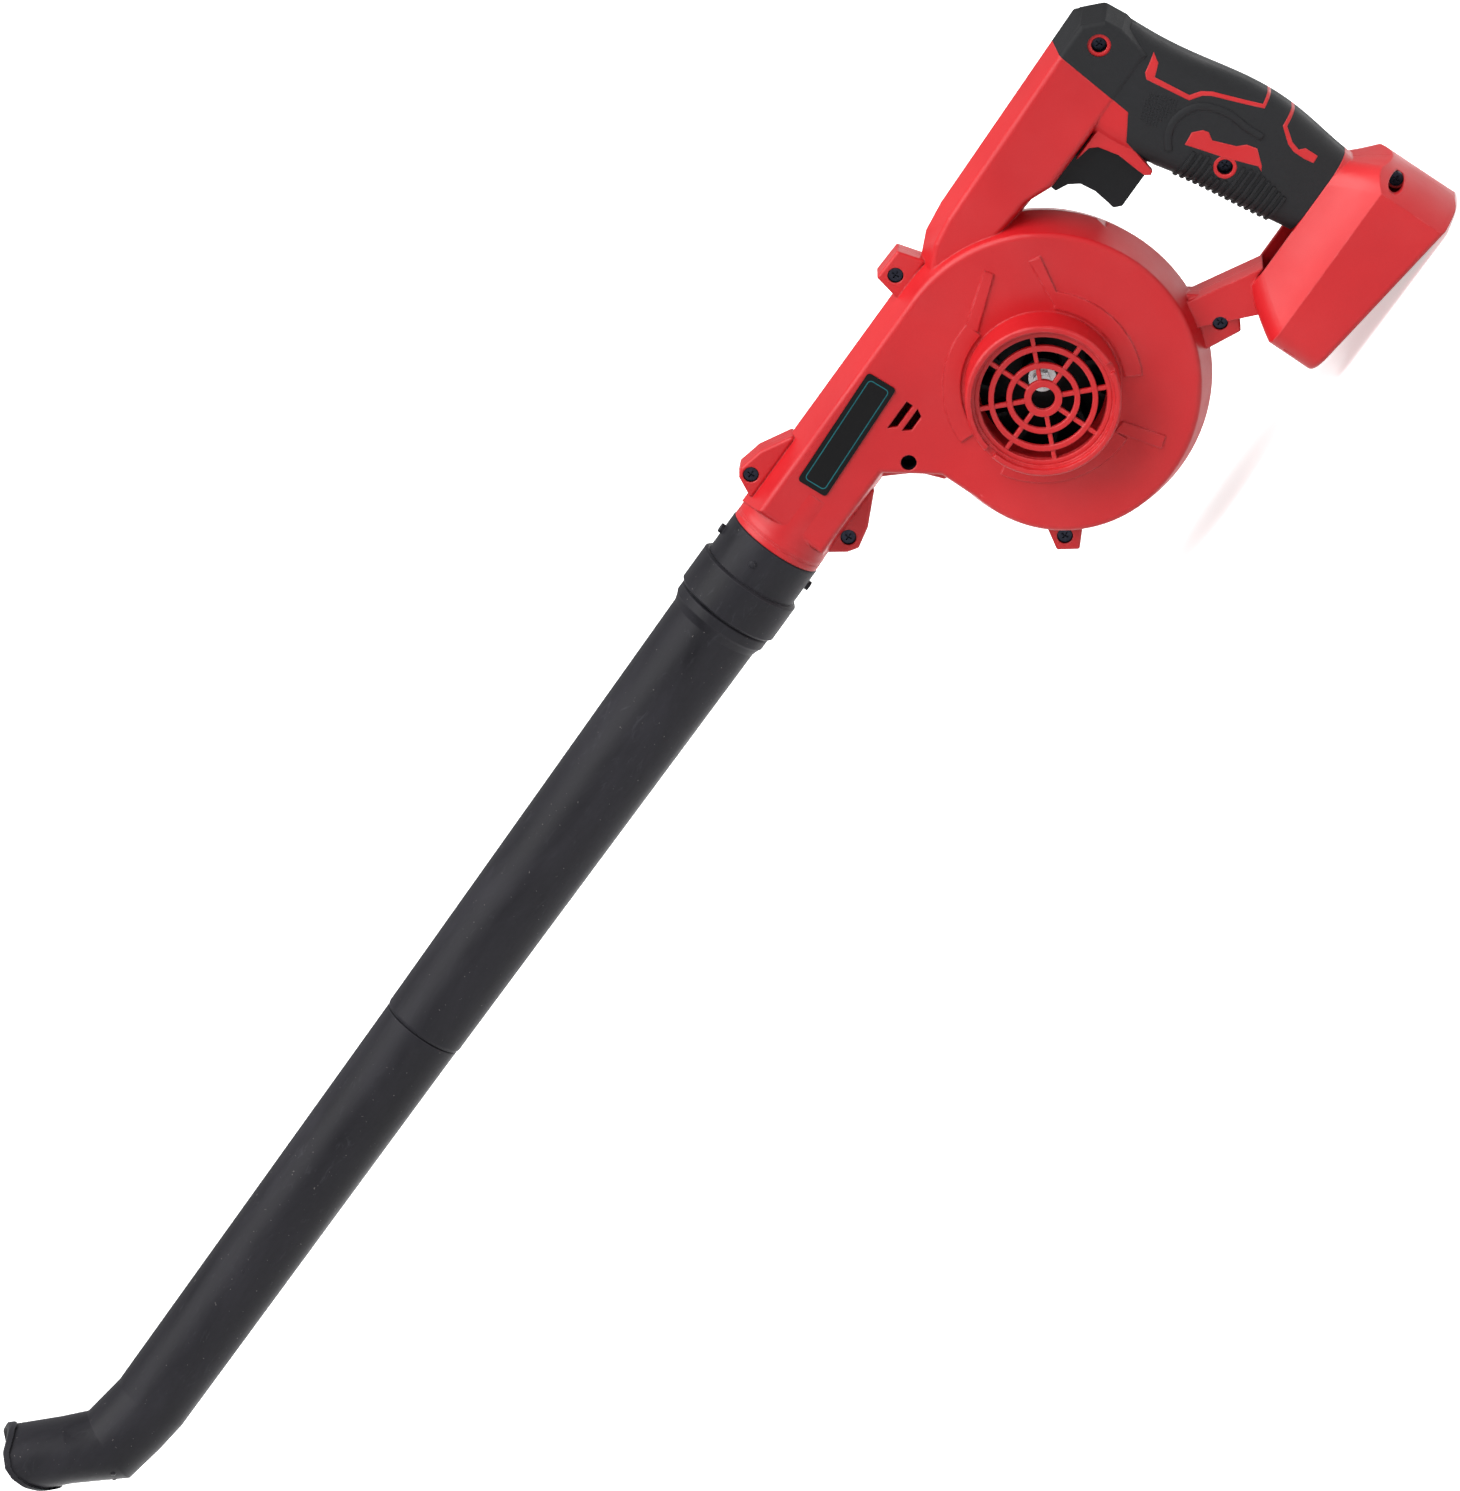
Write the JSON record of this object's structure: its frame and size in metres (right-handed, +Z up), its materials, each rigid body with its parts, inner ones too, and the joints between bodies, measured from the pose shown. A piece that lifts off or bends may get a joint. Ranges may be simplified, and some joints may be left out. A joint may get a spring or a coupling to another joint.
{
  "type": "cordless leaf blower",
  "caption": "Hand-held leaf blower: round fan housing with a guarded side inlet, D-shaped handle over a battery foot, and a long two-part blow tube with a bent end.",
  "frame": {"origin": "centre of the inlet collar's rim, on the fan axis", "axes": "+X towards the handle and against the blow tube, -Y out of the inlet, +Z up when the tube is level"},
  "size_m": [0.9575, 0.113, 0.2284],
  "materials": {
    "red_plastic": "satin moulded",
    "soft_grip": "matte soft",
    "tube_plastic": "satin",
    "black_plastic": "satin",
    "dark_screw": "black oxide",
    "steel": "brushed",
    "copper": "enamelled wire",
    "brass": "plated",
    "aluminium": "extruded",
    "rubber": "matte",
    "label": "printed",
    "carbon": "graphite"
  },
  "bodies": {
    "housing": {"housing_left": "red_plastic", "housing_right": "red_plastic", "grip_left": "soft_grip", "grip_right": "soft_grip", "inlet_grille": "red_plastic", "label_plate": "label", "housing_screws": "dark_screw", "motor_can": "steel", "motor_end_bell": "black_plastic", "motor_magnets": "carbon", "carbon_brushes": "carbon", "motor_screws": "steel", "motor_damper": "rubber", "front_bearing": "steel", "rear_bearing": "steel", "trigger_spring": "steel", "switch_body": "black_plastic", "heat_sink": "aluminium", "terminal_block": "black_plastic", "contact_blades": "brass", "battery_leads": "rubber", "motor_leads": "rubber", "outlet_seal": "rubber"},
    "rotor": {"motor_shaft": "steel", "armature_core": "steel", "armature_winding": "copper", "commutator": "copper", "impeller": "black_plastic", "fan_washer": "steel", "fan_nut": "steel"},
    "trigger": {"trigger": "black_plastic", "switch_plunger": "black_plastic"},
    "nozzle": {"nozzle_adapter": "tube_plastic", "upper_tube": "tube_plastic"},
    "tube_end": {"lower_tube": "tube_plastic"}
  },
  "joints": [
    {"name": "fan_spin", "type": "hinge", "parent": "housing", "child": "rotor", "pos_m": [0, 0.05, 0], "axis": [0, 1, 0], "continuous": true},
    {"name": "trigger_pull", "type": "slide", "parent": "housing", "child": "trigger", "axis": [1, 0, 0], "range_m": [0, 0.0065], "stiffness_N_per_m": 1200, "springref_m": -0.003, "deforming": ["trigger_spring"]},
    {"name": "nozzle_turn", "type": "hinge", "parent": "housing", "child": "nozzle", "pos_m": [-0.1475, 0.05, 0.059], "axis": [-1, 0, 0], "range_deg": [0, 22]},
    {"name": "tube_end_turn", "type": "hinge", "parent": "nozzle", "child": "tube_end", "pos_m": [-0.4573, 0.05, 0.059], "axis": [-1, 0, 0], "continuous": true}
  ]
}
